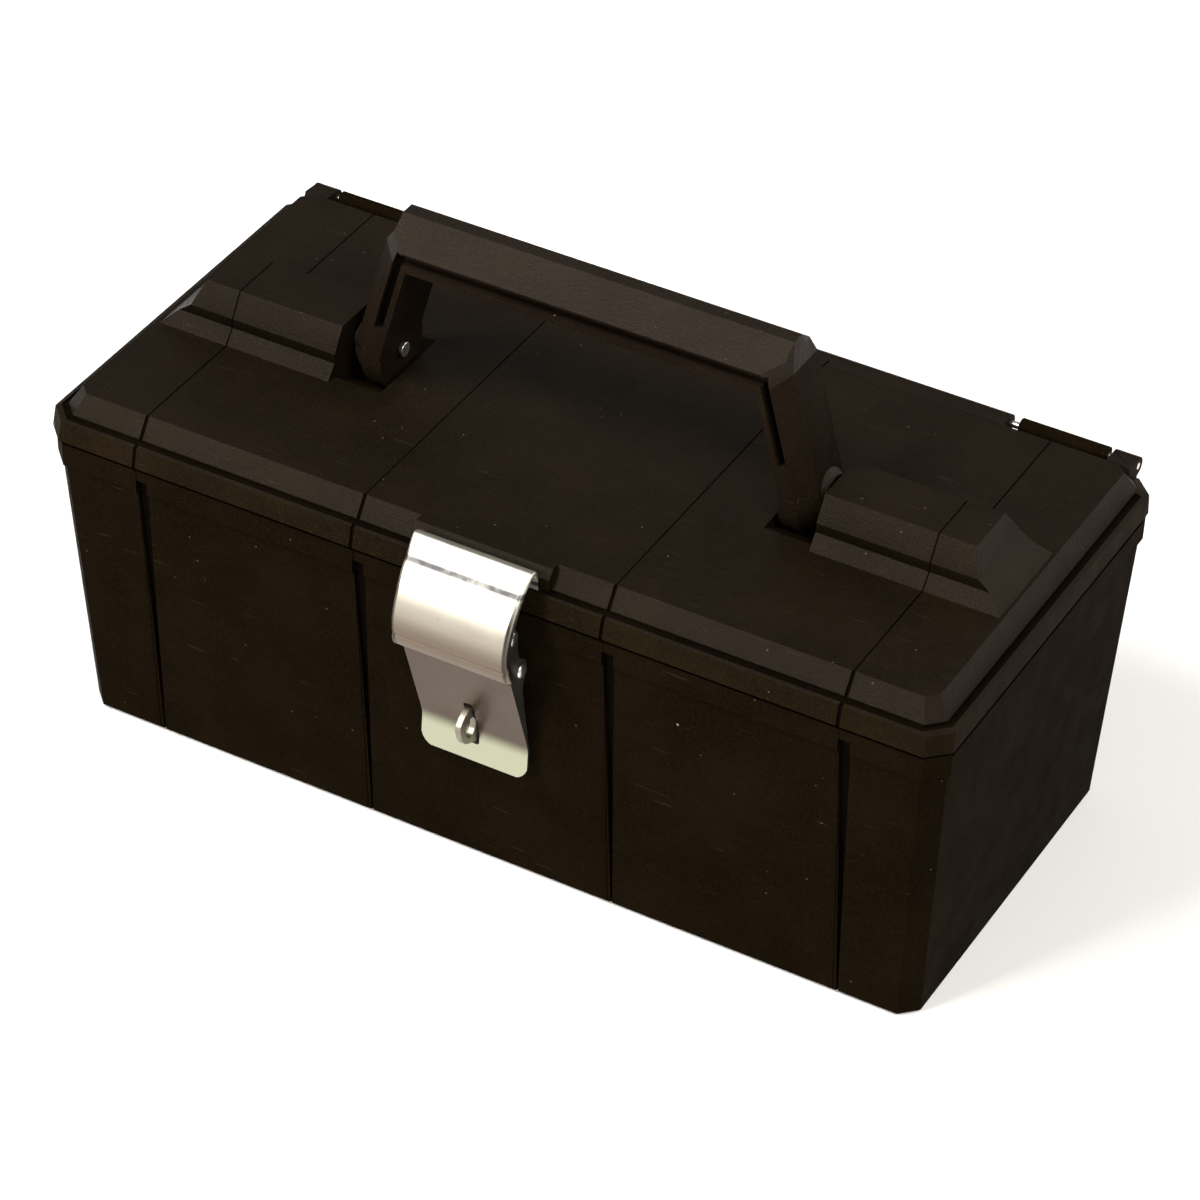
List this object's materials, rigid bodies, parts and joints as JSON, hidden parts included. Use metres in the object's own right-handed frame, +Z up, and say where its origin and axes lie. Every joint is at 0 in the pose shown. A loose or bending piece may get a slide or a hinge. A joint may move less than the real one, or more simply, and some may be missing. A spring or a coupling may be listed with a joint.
{
  "type": "toolbox with tray",
  "caption": "Small hinged plastic toolbox with a folding carrying handle, a steel draw latch with a padlock eye, and a lift-out tray.",
  "frame": {"origin": "centre of the bounding box's bottom face, on the surface the runners stand on", "axes": "+X along the long side, to the right seen from the latch side; -Y the front with the latch; +Z up"},
  "size_m": [0.33, 0.1756, 0.1932],
  "materials": {
    "shell_plastic": "fine-grained, satin, very dark brown",
    "handle_plastic": "fine-grained, satin, very dark brown",
    "tray_plastic": "satin, dark grey",
    "zinc_steel": "zinc-plated, worn"
  },
  "bodies": {
    "base": {"base_tub": "shell_plastic", "latch_bracket": "zinc_steel", "padlock_staple": "zinc_steel", "latch_backing_plate": "zinc_steel", "bracket_rivet_1": "zinc_steel", "bracket_rivet_2": "zinc_steel", "bracket_rivet_3": "zinc_steel", "bracket_rivet_4": "zinc_steel", "lever_rivet_left": "zinc_steel", "lever_rivet_right": "zinc_steel", "hinge_pin_left": "zinc_steel", "hinge_pin_right": "zinc_steel"},
    "lid": {"lid_shell": "shell_plastic", "handle_pin_left": "zinc_steel", "handle_pin_right": "zinc_steel", "handle_bushing_left": "zinc_steel", "handle_bushing_right": "zinc_steel"},
    "handle": {"carry_handle": "handle_plastic"},
    "latch_lever": {"latch_lever": "zinc_steel", "hook_rivet_left": "zinc_steel", "hook_rivet_right": "zinc_steel"},
    "latch_hook": {"latch_hook": "zinc_steel"},
    "tray": {"tool_tray": "tray_plastic", "tray_divider_left": "tray_plastic", "tray_divider_right": "tray_plastic"}
  },
  "joints": [
    {"name": "lid_hinge", "type": "hinge", "parent": "base", "child": "lid", "pos_m": [0, 0.08475, 0.1268], "axis": [-1, 0, 0], "range_deg": [0, 105]},
    {"name": "handle_fold", "type": "hinge", "parent": "lid", "child": "handle", "pos_m": [0, 0.00545, 0.1372], "axis": [1, 0, 0], "range_deg": [-58, 58]},
    {"name": "latch_lever_swing", "type": "hinge", "parent": "base", "child": "latch_lever", "pos_m": [0, -0.08105, 0.1117], "axis": [-1, 0, 0], "range_deg": [0, 52]},
    {"name": "latch_hook_swing", "type": "hinge", "parent": "latch_lever", "child": "latch_hook", "pos_m": [0, -0.07555, 0.0952], "axis": [-1, 0, 0], "range_deg": [-52, 0]},
    {"name": "tray_lift", "type": "slide", "parent": "base", "child": "tray", "axis": [0, 0, 1], "range_m": [0, 0.01]}
  ],
  "couplings": [
    {"joint": "latch_hook_swing", "follows": "latch_lever_swing", "ratio": -1}
  ]
}
